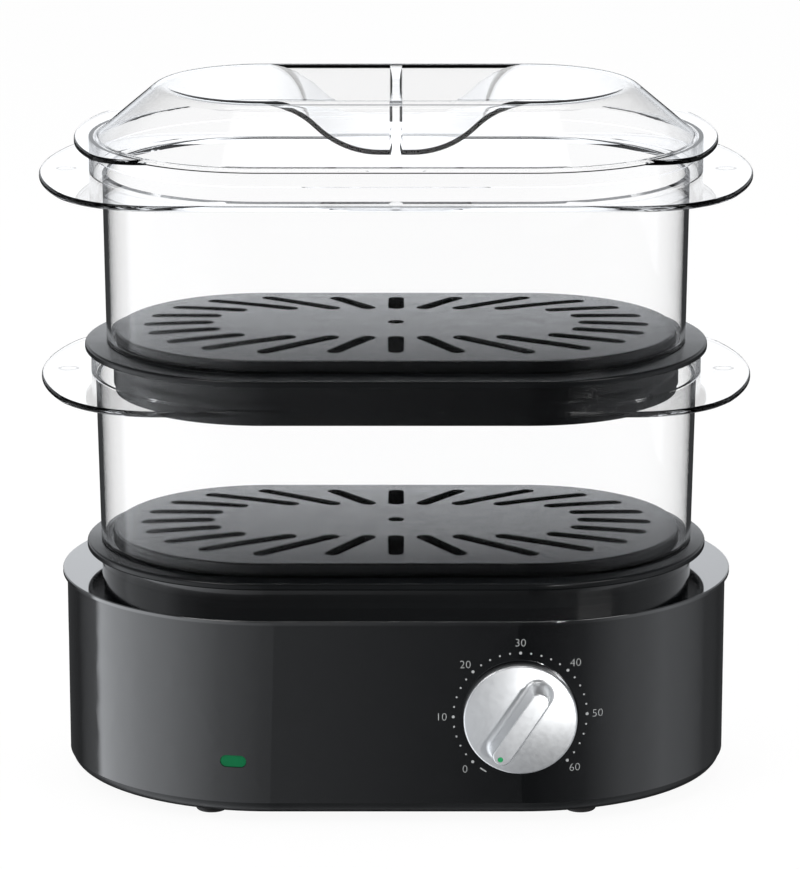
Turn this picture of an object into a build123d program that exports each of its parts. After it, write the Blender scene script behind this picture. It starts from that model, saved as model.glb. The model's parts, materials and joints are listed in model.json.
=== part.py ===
from build123d import *
import math
import os

# Two-tier electric food steamer. Millimetres, +Z up, front towards -Y.
# Every racetrack plan is a straight run of 2 x span with round ends of a stated radius, so a
# section drawn as (radius, height) is carried round it by carry().

# ---- Driving dimensions -------------------------------------------------------------------
# Clearances, each to one side
SHANK_FIT = 0.1
SHANK_CLEARANCE = 0.2
HEAD_CLEARANCE = 0.4
NEST_GAP = 0.6
RUNNING_FIT = 0.05

# Plan shared by the whole stack: half the straight run, and the collar's outer radius
STACK_SPAN = 66.4
COLLAR_RADIUS = 88.5

# Housing of the base unit, narrower in radius and longer in its run towards the foot
BODY_TAPER = 3.0
BODY_SPAN_TAPER = 2.5
BODY_WALL = 2.6

# Deck, its locating rib and the screw columns under it
DECK_TOP = 107.1
DECK_BORDER = 26.9
DECK_SPAN_INSET = 4.2
DECK_OVERHANG = 0.5
DECK_SPAN_OVERHANG = 1.7
DECK_THICKNESS = 2.0
DECK_EDGE = 0.6
RIB_DROP = 6.0
RIB_THICKNESS = 2.0
COLUMN_RADIUS = 4.5
COLUMN_INSET = 11.6
COLUMN_ANGLE = 45.9
BORE_SPARE = 2.0

# Base pan, its cups, vents and locating lip
PAN_BOTTOM = 5.5
PAN_SEAM = 11.7
PAN_INSET = 0.8
PAN_FLOOR = 2.5
PAN_CORNER = 6.0
PAN_INNER_CORNER = 2.0
LIP_HEIGHT = 8.0
LIP_THICKNESS = 2.0
CUP_RADIUS = 7.0
CUP_HEIGHT = 3.0
VENT_HALF_LENGTH = 13.0
VENT_HALF_WIDTH = 1.5
VENT_PITCH = 8.0
VENTS_EACH_SIDE = 3
VENT_ROW_Y = 45.0

# Column screws: the head sunk in the pan, the shank in the deck's column
SCREW_RADIUS = 1.75
SCREW_LENGTH = 12.0
SCREW_HEAD_RADIUS = 3.6
SCREW_HEAD_HEIGHT = 2.4
SCREW_SINK = 0.6

# Rubber feet, each snapped through the pan by a barbed stem
FOOT_RADIUS = 8.0
FOOT_BEYOND_SPAN = 30.0
FOOT_INSET = 28.0
FOOT_EDGE = 1.6
FOOT_SINK = 1.0
FOOT_STEM_RADIUS = 2.6
BARB_PROUD = 0.8
BARB_HEIGHT = 1.1

# Water basin
BASIN_LEDGE_DEPTH = 21.1
BASIN_LEDGE_WIDTH = 18.0
BASIN_LEDGE_EDGE = 1.5
BASIN_LEDGE_CORNER = 3.0
BASIN_FLOOR_RISE = 34.4
BASIN_CORNER = 8.0
BASIN_WALL = 2.4

# Heating plate, seal and clamp ring
HEATER_RADIUS = 31.0
HEATER_RISE = 3.6
HEATER_EDGE = 2.0
HEATER_HOLE_GAP = 1.0
HEATER_FLANGE = 7.0
HEATER_FLANGE_THICKNESS = 2.0
SEAL_THICKNESS = 1.5
SEAL_GAP = 0.4
CLAMP_THICKNESS = 1.5
CLAMP_SCREW_INSET = 6.0
CLAMP_EAR_RADIUS = 5.5
CLAMP_OVERLAP = 8.4
CLAMP_BOSS_RADIUS = 4.0
CLAMP_SCREW_RADIUS = 1.5
CLAMP_SCREW_HEAD_RADIUS = 3.0
CLAMP_SCREW_HEAD_HEIGHT = 1.8
CLAMP_SCREW_GRIP = 3.0
CLAMP_ANGLES = (0, 120, 240)

# Tubular element
TUBE_RADIUS = 3.6
TUBE_RING_RADIUS = 21.0
TUBE_GAP_ANGLE = 40.0
TUBE_TAIL = 9.0
TUBE_PIN_RADIUS = 1.2
TUBE_PIN_LENGTH = 6.0

# Thermostat and fuse, under the heating plate
THERMOSTAT_CAP_RADIUS = 9.5
THERMOSTAT_CAP_HEIGHT = 2.0
THERMOSTAT_RADIUS = 8.0
THERMOSTAT_HEIGHT = 9.0
THERMOSTAT_BLADE_X = 4.0
FUSE_Y = 12.4
FUSE_RADIUS = 2.0
FUSE_LENGTH = 13.0
FUSE_LEAD_RADIUS = 0.6
FUSE_LEAD_LENGTH = 19.0

# Timer knob, on the front wall, its centre this far below the deck's top
KNOB_X = 61.9
KNOB_DROP = 49.8
KNOB_RADIUS = 28.4
KNOB_STAND_OFF = 1.4
KNOB_THICKNESS = 5.0
KNOB_CROWN = 1.1
KNOB_EDGE = 1.0
KNOB_FACE_WALL = 1.4
GRIP_LENGTH = 42.6
GRIP_WIDTH = 9.4
GRIP_HEIGHT = 14.2
GRIP_TAPER = 5.0
GRIP_FILLET = 2.4
GRIP_EDGE = 0.7
OFF_ANGLE = 33.3
DOT_RADIUS = 1.3
DOT_FROM_END = 2.8
DOT_PROUD = 0.15
PAD_FACE = 0.2
PAD_MARGIN = 1.0
RING_GAP = 0.3
RING_MARGIN = 0.6
RING_HOLE_MARGIN = 4.0

# Timer behind it
SHAFT_RADIUS = 3.0
SHAFT_HOLE_GAP = 1.0
SHAFT_PRESS_FIT = 0.02
SHAFT_END_GAP = 0.1
SHAFT_TAIL = 11.0
SHAFT_BORE_DEPTH = 12.0
SHAFT_FLAT = 1.5
CASE_WIDTH = 44.0
CASE_HEIGHT = 40.0
CASE_DEPTH = 22.0
CASE_EDGE = 3.0
CASE_BLADES_X = (-15.0, -5.0, 5.0)
CASE_BLADES_Y = -9.0
BLADE_WIDTH = 6.0
BLADE_THICKNESS = 0.8
BLADE_LENGTH = 6.0
BUSH_RADIUS = 5.0
BUSH_SETBACK = 2.3
BRACKET_THICKNESS = 1.2
BRACKET_WING = 10.0
BRACKET_HEIGHT = 32.0
BRACKET_CORNER = 4.0
BRACKET_ROOM = 1.5
BRACKET_SCREW_WING = 5.5
BRACKET_SCREW_RADIUS = 1.5
BRACKET_SCREW_HEAD_RADIUS = 2.9
BRACKET_SCREW_HEAD_HEIGHT = 1.6
BRACKET_SCREW_GRIP = 2.0
BRACKET_BOSS_RADIUS = 3.6
BELL_RADIUS = 13.0
BELL_HEIGHT = 6.0
BELL_WALL = 0.9
BELL_ROUNDING = 4.0
BELL_POST_RADIUS = 1.6
BELL_Y = 8.0

# Pilot lamp, on the front wall
LENS_X = -81.3
LENS_Z = 33.3
LENS_WIDTH = 13.0
LENS_HEIGHT = 6.0
LENS_FIT = 0.15
LENS_RECESS = 0.5
LENS_TAIL = 3.0
LAMP_RADIUS = 3.0
LAMP_LENGTH = 14.0
LAMP_LEAD_RADIUS = 0.4
LAMP_LEAD_X = 1.0
LAMP_LEAD_LENGTH = 20.0
HOLDER_WIDTH = 15.0
HOLDER_HEIGHT = 10.0
HOLDER_DEPTH = 10.0

# Cord inlet grommet, in the rear wall
INLET_X = 40.0
INLET_Z = 30.0
INLET_RADIUS = 6.0
INLET_BORE_RADIUS = 3.4
INLET_FLANGE = 2.2
INLET_GROOVE_GAP = 0.4
INLET_DEPTH = 7.0
INLET_PROUD = 2.0
INLET_EDGE = 0.6

# Terminal block, on the pan's floor
BLOCK_X = -40.0
BLOCK_INSET = 33.0
BLOCK_WIDTH = 32.0
BLOCK_DEPTH = 16.0
BLOCK_HEIGHT = 14.0
BLOCK_POLE_PITCH = 11.0
BLOCK_WELL_RADIUS = 2.6
BLOCK_WELL_DEPTH = 5.0
BLOCK_WIRE_RADIUS = 1.8
BLOCK_WIRE_HEIGHT = 5.0

# Steaming stack: trays
TRAY_SEAT_RISE = 13.1
TRAY_WALL = 2.2
FLANGE_THICKNESS = 2.5
FLANGE_FALL = 1.0
FLANGE_SHOULDER = 0.8
FLANGE_EDGE = 1.4
FLANGE_LIP = 2.0
LIP_GAP = 0.9
LIP_EDGE = 0.9
PLATEAU_RISE = 5.8
PLATEAU_CROWN = 2.1
PLATEAU_EDGE = 1.2
CROWN_FLAT = 6.0
PLATE_THICKNESS = 2.6
LOWER_SHELF = 6.4
UPPER_SHELF = 4.8
SKIRT_GAP = 4.1
SKIRT_DEPTH = 24.8
SKIRT_STEP_HEIGHT = 5.5
SKIRT_STEP = 0.8

# Steam slots of a tray: each half is a fan that points at a pole just past the centre
SLOT_WIDTH = 8.4
SLOT_TAPER = 12.0
SLOT_EDGE_MARGIN = 13.6
SLOT_INNER_SPAN_INSET = 3.9
SLOT_INNER_RADIUS = 30.0
FAN_POLE = 7.0
FAN_ANGLES = (8.5, 17.7, 27.5, 39.4, 57.4)
JUICE_HOLE_RADIUS = 4.2

# Drip tray
DRIP_STEP = 5.0
DRIP_SEAT = 1.9
DRIP_BAND_HEIGHT = 3.2
DRIP_BAND_PROUD = 0.7
DRIP_FLOOR_RISE = 2.0
DRIP_WALL = 2.2
DRIP_CORNER = 5.0
DRIP_MOUTH_GAP = 0.8
DRIP_LEDGE_FALL = 1.0
CHIMNEY_BEYOND_SPAN = 30.6
CHIMNEY_SPAN = 18.0
CHIMNEY_RADIUS = 7.0
CHIMNEY_HEIGHT = 16.0

# Steaming baskets
BASKET_WALL = 2.2
BASKET_FOOT_EDGE = 0.8
BASKET_FOOT_HEIGHT = 2.0
LOWER_DRAFT = 1.9
UPPER_DRAFT = 1.3
UPPER_STEP = 4.4
LOWER_COLLAR_HEIGHT = 16.9
UPPER_COLLAR_HEIGHT = 18.6
HANDLE_HEIGHT = 84.4
HANDLE_THICKNESS = 3.0
HANDLE_EDGE = 1.2
HANDLE_PROUD = 25.1
HANDLE_END_RADIUS = 150.0
HANDLE_SIDE_PROUD = 3.5
HANDLE_CORNER = 55.0
SEAT_GAP = 1.2

# Lid
LID_WALL = 2.2
LID_FLANGE = 2.5
LID_FLANGE_EDGE = 1.0
LID_TAB_PROUD = 7.3
LID_END_RADIUS = 140.0
LID_TAB_SIDE_INSET = 20.5
LID_TAB_CORNER = 26.0
LID_FOOT_INSET = 4.2
LID_SLOPE_RUN = 30.6
LID_CROWN_ROUNDING = 12.0
LID_RISE = 28.5
LID_SKIRT_DEPTH = 7.5
LID_SKIRT_WALL = 1.8
LID_SKIRT_GAP = 0.9
POCKET_SIDE_WALL = 5.7
POCKET_FLAT = 8.0
POCKET_HALF_WIDTH = 69.5
POCKET_FLOOR_RISE = 3.5
POCKET_CREST = 0.4
GRIP_RIB_END = 6.4
GRIP_RIB_WAIST = 3.6
GRIP_RIB_DROP = 0.6

# ---- Derived sizes and places -------------------------------------------------------------
# Radii of the stack, from the collar inwards
TRAY_RADIUS = COLLAR_RADIUS + LIP_GAP + TRAY_WALL
LOWER_BASKET_TOP = COLLAR_RADIUS - BASKET_WALL
LOWER_BASKET_FOOT = LOWER_BASKET_TOP - LOWER_DRAFT
LOWER_PLATEAU_RADIUS = LOWER_BASKET_FOOT - LOWER_SHELF
UPPER_BASKET_TOP = LOWER_BASKET_TOP - UPPER_STEP
UPPER_BASKET_FOOT = UPPER_BASKET_TOP - UPPER_DRAFT
UPPER_PLATEAU_RADIUS = UPPER_BASKET_FOOT - UPPER_SHELF
DRIP_RADIUS = COLLAR_RADIUS - DRIP_STEP
SKIRT_RADIUS = DRIP_RADIUS - DRIP_WALL - SKIRT_GAP
BASIN_MOUTH_RADIUS = DRIP_RADIUS - DRIP_SEAT
BASIN_RADIUS = BASIN_MOUTH_RADIUS - BASIN_LEDGE_WIDTH
LID_FOOT_RADIUS = COLLAR_RADIUS - LID_FOOT_INSET
LID_CROWN_RADIUS = LID_FOOT_RADIUS - LID_SLOPE_RUN
POCKET_HALF_DEPTH = LID_CROWN_RADIUS - POCKET_SIDE_WALL
POCKET_DEPTH = LID_RISE - POCKET_FLOOR_RISE
HANDLE_REACH = STACK_SPAN + COLLAR_RADIUS + HANDLE_PROUD
HANDLE_HALF_DEPTH = COLLAR_RADIUS + HANDLE_SIDE_PROUD
LID_REACH = STACK_SPAN + COLLAR_RADIUS + LID_TAB_PROUD
LID_TAB_HALF_DEPTH = COLLAR_RADIUS - LID_TAB_SIDE_INSET
SLOT_INNER_SPAN = STACK_SPAN - SLOT_INNER_SPAN_INSET
CHIMNEY_X = STACK_SPAN + CHIMNEY_BEYOND_SPAN

# Plan of the base unit, round the basin's mouth
DECK_RADIUS = BASIN_MOUTH_RADIUS + DECK_BORDER
DECK_SPAN = STACK_SPAN - DECK_SPAN_INSET
BODY_TOP_RADIUS = DECK_RADIUS - DECK_OVERHANG
BODY_TOP_SPAN = DECK_SPAN - DECK_SPAN_OVERHANG
BODY_FOOT_RADIUS = BODY_TOP_RADIUS - BODY_TAPER
BODY_FOOT_SPAN = BODY_TOP_SPAN + BODY_SPAN_TAPER
COLUMN_CIRCLE = BODY_FOOT_RADIUS - COLUMN_INSET
COLUMN_X = BODY_FOOT_SPAN + COLUMN_CIRCLE * math.cos(math.radians(COLUMN_ANGLE))
COLUMN_Y = COLUMN_CIRCLE * math.sin(math.radians(COLUMN_ANGLE))
FOOT_X = BODY_FOOT_SPAN + FOOT_BEYOND_SPAN
FOOT_Y = BODY_FOOT_RADIUS - FOOT_INSET
BLOCK_Y = BODY_FOOT_RADIUS - BLOCK_INSET

# Heights
DECK_UNDER = DECK_TOP - DECK_THICKNESS
BASIN_LEDGE = DECK_TOP - BASIN_LEDGE_DEPTH
KNOB_Z = DECK_TOP - KNOB_DROP
PAN_TOP = PAN_BOTTOM + PAN_FLOOR
BASIN_FLOOR = PAN_TOP + BASIN_FLOOR_RISE
CUP_TOP = PAN_TOP + CUP_HEIGHT
BASIN_UNDER = BASIN_FLOOR - BASIN_WALL
HEATER_FLANGE_RADIUS = HEATER_RADIUS + HEATER_FLANGE
CLAMP_CIRCLE = HEATER_FLANGE_RADIUS + CLAMP_SCREW_INSET
HEATER_FLANGE_TOP = BASIN_UNDER - SEAL_THICKNESS
HEATER_UNDER = HEATER_FLANGE_TOP - HEATER_FLANGE_THICKNESS
CLAMP_UNDER = HEATER_UNDER - CLAMP_THICKNESS
DRIP_FLOOR = BASIN_LEDGE + DRIP_FLOOR_RISE
CHIMNEY_TOP = DRIP_FLOOR + CHIMNEY_HEIGHT
TRAY_SEAT = DECK_TOP + TRAY_SEAT_RISE
LOWER_FLANGE_TOP = TRAY_SEAT + FLANGE_THICKNESS
UPPER_TRAY_SEAT = LOWER_FLANGE_TOP + HANDLE_HEIGHT + LOWER_COLLAR_HEIGHT
UPPER_FLANGE_TOP = UPPER_TRAY_SEAT + FLANGE_THICKNESS
LID_SEAT = UPPER_FLANGE_TOP + HANDLE_HEIGHT + UPPER_COLLAR_HEIGHT
LID_FLANGE_TOP = LID_SEAT + LID_FLANGE
LID_TOP = LID_SEAT + LID_RISE

# The walls slope by this much outward for each millimetre up
WALL_SLOPE = (BODY_TOP_RADIUS - BODY_FOOT_RADIUS) / (DECK_UNDER - PAN_SEAM)
SPAN_SLOPE = (BODY_TOP_SPAN - BODY_FOOT_SPAN) / (DECK_UNDER - PAN_SEAM)
WALL_TILT = math.degrees(math.atan(WALL_SLOPE))
KNOB_WALL_RADIUS = BODY_FOOT_RADIUS + (KNOB_Z - PAN_SEAM) * WALL_SLOPE
KNOB_WALL_SPAN = BODY_FOOT_SPAN + (KNOB_Z - PAN_SEAM) * SPAN_SLOPE
LENS_WALL_RADIUS = BODY_FOOT_RADIUS + (LENS_Z - PAN_SEAM) * WALL_SLOPE
INLET_WALL_Y = BODY_FOOT_RADIUS + (INLET_Z - PAN_SEAM) * WALL_SLOPE
KNOB_FACE = KNOB_STAND_OFF + KNOB_THICKNESS
KNOB_REACH = KNOB_WALL_RADIUS + KNOB_FACE + GRIP_HEIGHT
CENTRING = (KNOB_REACH - DECK_RADIUS) / 2

# The wall bends back at the bracket's far end, and the timer sits clear behind that
BRACKET_HALF_WIDTH = CASE_WIDTH / 2 + BRACKET_WING
BRACKET_SCREW_X = CASE_WIDTH / 2 + BRACKET_SCREW_WING
BEND_REACH = max(0.0, KNOB_X + BRACKET_HALF_WIDTH - KNOB_WALL_SPAN)
WALL_BEND = KNOB_WALL_RADIUS - math.sqrt(KNOB_WALL_RADIUS**2 - BEND_REACH**2)
CASE_FRONT = -(BODY_WALL + WALL_BEND + BRACKET_THICKNESS + BRACKET_ROOM)
BRACKET_FRONT = CASE_FRONT + BRACKET_THICKNESS
CASE_BACK = CASE_FRONT - CASE_DEPTH

# The lens is cut flat a little behind the wall at its outer end, where the wall bends back
LENS_BEND_REACH = max(0.0, -LENS_X + LENS_WIDTH / 2 - BODY_FOOT_SPAN)
LENS_BEND = LENS_WALL_RADIUS - math.sqrt(LENS_WALL_RADIUS**2 - LENS_BEND_REACH**2)
LENS_BACK = -(LENS_WALL_RADIUS - LENS_BEND - BODY_WALL - LENS_TAIL)

# The front wall's own plane at the knob: x to the right, y up the wall, z out of the wall
KNOB_PLANE = Plane(
    origin=(KNOB_X, -KNOB_WALL_RADIUS, KNOB_Z),
    x_dir=(1, 0, 0),
    z_dir=(0, -math.cos(math.radians(WALL_TILT)), -math.sin(math.radians(WALL_TILT))),
)


# ---- Shared construction ------------------------------------------------------------------
def pill(span, radius):
    """A racetrack plan on XY: straight runs of 2 x span and ends of the given radius."""
    return SlotCenterToCenter(2 * span, 2 * radius)


def outline(*corners):
    """A closed section on XZ from (radius, height) or (radius, height, rounding) corners."""
    face = make_face(Polyline(*[corner[:2] for corner in corners], close=True))
    for corner in corners:
        if len(corner) == 3:
            vertex = face.vertices().sort_by_distance((corner[0], corner[1], 0))[0]
            face = fillet(vertex, corner[2])
    return Plane.XZ * face


def carry(section, span):
    """Carry a section round a racetrack whose end centres are at x = +-span."""
    end = revolve(section, Axis.Z, 180)
    run = extrude(Rot(0, 0, -90) * section, amount=span, both=True)
    ends = Pos(span, 0, 0) * Rot(0, 0, -90) * end + Pos(-span, 0, 0) * Rot(0, 0, 90) * end
    return ends + run + mirror(run, Plane.XZ)


def band(radius, bottom, top, thickness):
    """The section of an upright wall whose outer face is at the given radius."""
    return outline(
        (radius, bottom),
        (radius, top),
        (radius - thickness, top),
        (radius - thickness, bottom),
    )


def plate(plan, bottom, thickness):
    """A flat plate of the given plan."""
    return extrude(Pos(0, 0, bottom) * plan, amount=thickness)


def rod(x, y, bottom, top, radius):
    """An upright round rod."""
    return Pos(x, y, bottom) * Cylinder(
        radius, top - bottom, align=(Align.CENTER, Align.CENTER, Align.MIN)
    )


def four_corners(x, y):
    """The four mirrored places of a point."""
    return [(sx * x, sy * y) for sx in (-1, 1) for sy in (-1, 1)]


def tongue(reach, end_radius, half_depth, corner):
    """A plan with shallow round ends and straight sides, its four corners rounded."""
    half = Pos(reach / 2, 0) * Rectangle(reach, 2 * half_depth)
    half &= Pos(reach - end_radius, 0) * Circle(end_radius)
    half = fillet(half.vertices().group_by(Axis.X)[-1], corner)
    return half + mirror(half, Plane.YZ)


def pan_head_screw(head_radius, head_height, radius, length):
    """A pan-head screw standing on its head at z = 0."""
    head = rod(0, 0, 0, head_height, head_radius)
    head = fillet(head.edges().sort_by(Axis.Z)[0], head_height * 0.4)
    return head + rod(0, 0, head_height, head_height + length, radius)


def blade(width, depth):
    """A blade terminal that hangs down from z = 0."""
    return Box(width, depth, BLADE_LENGTH, align=(Align.CENTER, Align.CENTER, Align.MAX))


def save(name, shape):
    """Write one piece, moved so that the origin is under the middle of the whole."""
    export_step(Pos(0, CENTRING, 0) * shape, f"parts/{name}.step")


# ---- Base unit ----------------------------------------------------------------------------
def body_solid(inset):
    """The tapered body, all its side faces moved in by inset."""
    foot = Pos(0, 0, PAN_SEAM) * pill(BODY_FOOT_SPAN, BODY_FOOT_RADIUS - inset)
    top = Pos(0, 0, DECK_UNDER) * pill(BODY_TOP_SPAN, BODY_TOP_RADIUS - inset)
    return loft([foot, top], ruled=True)


def lens_prism(clearance, back_y):
    """The pilot lens's pill section, run straight back from the front to back_y."""
    front = Plane(origin=(LENS_X, -DECK_RADIUS, LENS_Z), x_dir=(1, 0, 0), z_dir=(0, 1, 0))
    section = pill((LENS_WIDTH - LENS_HEIGHT) / 2, LENS_HEIGHT / 2 + clearance)
    return extrude(front * section, amount=DECK_RADIUS + back_y)


def make_housing_shell():
    """The tapered housing, with a flat pad and two bosses for the timer."""
    pad = on_panel(rod(0, 0, CASE_FRONT, PAD_FACE, KNOB_RADIUS + PAD_MARGIN))
    shell = body_solid(0) + pad - body_solid(BODY_WALL)
    hole_end = BRACKET_FRONT + BRACKET_SCREW_GRIP
    for x in (-BRACKET_SCREW_X, BRACKET_SCREW_X):
        boss = on_panel(rod(x, 0, BRACKET_FRONT, 0, BRACKET_BOSS_RADIUS))
        shell += boss & body_solid(BODY_WALL / 2)
        shell -= on_panel(rod(x, 0, BRACKET_FRONT, hole_end, BRACKET_SCREW_RADIUS))
    shell -= on_panel(rod(0, 0, CASE_FRONT, PAD_FACE, SHAFT_RADIUS + SHAFT_HOLE_GAP))
    shell -= lens_prism(LENS_FIT, LENS_BACK)
    inlet = Cylinder(INLET_RADIUS, 4 * (DECK_RADIUS - INLET_WALL_Y))
    return shell - Pos(INLET_X, INLET_WALL_Y, INLET_Z) * Rot(90, 0, 0) * inlet


def make_top_deck():
    """The deck with the stepped water basin moulded in it, its rib, columns and bosses."""
    deck = plate(pill(DECK_SPAN, DECK_RADIUS), DECK_UNDER, DECK_THICKNESS)
    deck = fillet(deck.edges().filter_by_position(Axis.Z, DECK_TOP, DECK_TOP), DECK_EDGE)
    deck -= plate(pill(STACK_SPAN, BASIN_MOUTH_RADIUS), DECK_UNDER, DECK_THICKNESS)
    rib_radius = BODY_TOP_RADIUS - BODY_WALL - NEST_GAP
    rib = band(rib_radius, DECK_UNDER - RIB_DROP, DECK_UNDER, RIB_THICKNESS)
    basin = outline(
        (0, BASIN_FLOOR),
        (BASIN_RADIUS, BASIN_FLOOR, BASIN_CORNER),
        (BASIN_RADIUS, BASIN_LEDGE, BASIN_LEDGE_EDGE),
        (BASIN_MOUTH_RADIUS, BASIN_LEDGE, BASIN_LEDGE_CORNER),
        (BASIN_MOUTH_RADIUS, DECK_UNDER),
        (BASIN_MOUTH_RADIUS + BASIN_WALL, DECK_UNDER),
        (
            BASIN_MOUTH_RADIUS + BASIN_WALL,
            BASIN_LEDGE - BASIN_WALL,
            BASIN_LEDGE_CORNER + BASIN_WALL,
        ),
        (BASIN_RADIUS + BASIN_WALL, BASIN_LEDGE - BASIN_WALL),
        (BASIN_RADIUS + BASIN_WALL, BASIN_UNDER, BASIN_CORNER + BASIN_WALL),
        (0, BASIN_UNDER),
    )
    deck += carry(rib, BODY_TOP_SPAN) + carry(basin, STACK_SPAN)
    deck -= rod(0, 0, BASIN_UNDER, BASIN_FLOOR, HEATER_RADIUS + HEATER_HOLE_GAP)
    for x, y in four_corners(COLUMN_X, COLUMN_Y):
        deck += rod(x, y, CUP_TOP, DECK_UNDER, COLUMN_RADIUS)
        deck -= rod(x, y, CUP_TOP, CUP_TOP + SCREW_LENGTH + BORE_SPARE, SCREW_RADIUS)
    for x, y in clamp_places():
        deck += rod(x, y, HEATER_UNDER, BASIN_UNDER, CLAMP_BOSS_RADIUS)
        deck -= rod(x, y, HEATER_UNDER, BASIN_UNDER, CLAMP_SCREW_RADIUS)
    return deck


def make_base_pan():
    """The pan: a floor with vents and screw cups, and a lip that stands inside the housing."""
    rim_radius = BODY_FOOT_RADIUS - PAN_INSET
    lip_radius = BODY_FOOT_RADIUS - BODY_WALL - NEST_GAP
    section = outline(
        (0, PAN_BOTTOM),
        (rim_radius, PAN_BOTTOM, PAN_CORNER),
        (rim_radius, PAN_SEAM),
        (lip_radius, PAN_SEAM),
        (lip_radius, PAN_SEAM + LIP_HEIGHT),
        (lip_radius - LIP_THICKNESS, PAN_SEAM + LIP_HEIGHT),
        (lip_radius - LIP_THICKNESS, PAN_TOP, PAN_INNER_CORNER),
        (0, PAN_TOP),
    )
    pan = carry(section, BODY_FOOT_SPAN)
    head_top = PAN_BOTTOM + SCREW_SINK + SCREW_HEAD_HEIGHT
    for x, y in four_corners(COLUMN_X, COLUMN_Y):
        pan += rod(x, y, PAN_TOP, CUP_TOP, CUP_RADIUS)
        pan -= rod(x, y, PAN_BOTTOM, CUP_TOP, SCREW_RADIUS + SHANK_CLEARANCE)
        pan -= rod(x, y, PAN_BOTTOM, head_top, SCREW_HEAD_RADIUS + HEAD_CLEARANCE)
    for x, y in four_corners(FOOT_X, FOOT_Y):
        pan -= rod(x, y, PAN_BOTTOM, PAN_BOTTOM + FOOT_SINK, FOOT_RADIUS + SHANK_CLEARANCE)
        pan -= rod(x, y, PAN_BOTTOM, PAN_TOP, FOOT_STEM_RADIUS + SHANK_FIT)
    vent = Rot(0, 0, 90) * pill(VENT_HALF_LENGTH, VENT_HALF_WIDTH)
    for place in range(-VENTS_EACH_SIDE, VENTS_EACH_SIDE + 1):
        for y in (-VENT_ROW_Y, VENT_ROW_Y):
            pan -= plate(Pos(place * VENT_PITCH, y) * vent, PAN_BOTTOM, PAN_FLOOR)
    return pan


def make_rubber_feet():
    """Four feet, each with a barbed stem through the pan's floor."""
    foot = rod(0, 0, 0, PAN_BOTTOM + FOOT_SINK, FOOT_RADIUS)
    foot = fillet(foot.edges().sort_by(Axis.Z)[0], FOOT_EDGE)
    barb_foot = PAN_TOP + SHANK_FIT
    foot += rod(0, 0, PAN_BOTTOM, barb_foot, FOOT_STEM_RADIUS)
    foot += rod(0, 0, barb_foot, barb_foot + BARB_HEIGHT, FOOT_STEM_RADIUS + BARB_PROUD)
    return Compound([Pos(x, y) * foot for x, y in four_corners(FOOT_X, FOOT_Y)])


def make_base_screws():
    """The screws that draw the pan and the deck together on the housing."""
    screw = pan_head_screw(
        SCREW_HEAD_RADIUS, SCREW_HEAD_HEIGHT, SCREW_RADIUS - SHANK_FIT, SCREW_LENGTH
    )
    height = PAN_BOTTOM + SCREW_SINK
    return Compound([Pos(x, y, height) * screw for x, y in four_corners(COLUMN_X, COLUMN_Y)])


def make_cord_inlet():
    """The rubber grommet in the rear wall; its bore takes the mains cord."""
    flange_radius = INLET_RADIUS + INLET_FLANGE
    neck_radius = INLET_RADIUS - SHANK_FIT
    inside = INLET_WALL_Y - BODY_WALL - INLET_GROOVE_GAP
    outside = INLET_WALL_Y + INLET_GROOVE_GAP
    section = outline(
        (INLET_BORE_RADIUS, INLET_WALL_Y - INLET_DEPTH),
        (flange_radius, INLET_WALL_Y - INLET_DEPTH, INLET_EDGE),
        (flange_radius, inside),
        (neck_radius, inside),
        (neck_radius, outside),
        (flange_radius, outside),
        (flange_radius - INLET_GROOVE_GAP, INLET_WALL_Y + INLET_PROUD, INLET_EDGE),
        (INLET_BORE_RADIUS, INLET_WALL_Y + INLET_PROUD),
    )
    return Pos(INLET_X, 0, INLET_Z) * Rot(-90, 0, 0) * revolve(section, Axis.Z)


# ---- Heater -------------------------------------------------------------------------------
def clamp_places():
    """The clamp screws' places round the heater."""
    return [
        (CLAMP_CIRCLE * math.cos(math.radians(a)), CLAMP_CIRCLE * math.sin(math.radians(a)))
        for a in CLAMP_ANGLES
    ]


def make_heating_plate():
    """A pressed dish: it stands up through the basin floor and is flanged below it."""
    top = BASIN_FLOOR + HEATER_RISE
    section = outline(
        (0, top),
        (HEATER_RADIUS, top, HEATER_EDGE),
        (HEATER_RADIUS, HEATER_FLANGE_TOP),
        (HEATER_FLANGE_RADIUS, HEATER_FLANGE_TOP),
        (HEATER_FLANGE_RADIUS, HEATER_UNDER),
        (0, HEATER_UNDER),
    )
    return revolve(section, Axis.Z)


def make_heater_seal():
    """The flat ring between the plate's flange and the basin's floor."""
    ring = Circle(HEATER_FLANGE_RADIUS) - Circle(HEATER_RADIUS + SEAL_GAP)
    return plate(ring, HEATER_FLANGE_TOP, SEAL_THICKNESS)


def make_heater_tube():
    """The tubular element: most of a ring under the plate, its two cold ends turned down."""
    centre_z = HEATER_UNDER - TUBE_RADIUS
    tail_z = centre_z - TUBE_TAIL
    section = Plane.XZ * Pos(TUBE_RING_RADIUS, centre_z) * Circle(TUBE_RADIUS)
    tube = Rot(0, 0, TUBE_GAP_ANGLE / 2) * revolve(section, Axis.Z, 360 - TUBE_GAP_ANGLE)
    for sign in (-1, 1):
        angle = math.radians(sign * TUBE_GAP_ANGLE / 2)
        x = TUBE_RING_RADIUS * math.cos(angle)
        y = TUBE_RING_RADIUS * math.sin(angle)
        tube += Pos(x, y, centre_z) * Sphere(TUBE_RADIUS)
        tube += rod(x, y, tail_z, centre_z, TUBE_RADIUS)
        tube += rod(x, y, tail_z - TUBE_PIN_LENGTH, tail_z, TUBE_PIN_RADIUS)
    return tube


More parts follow.
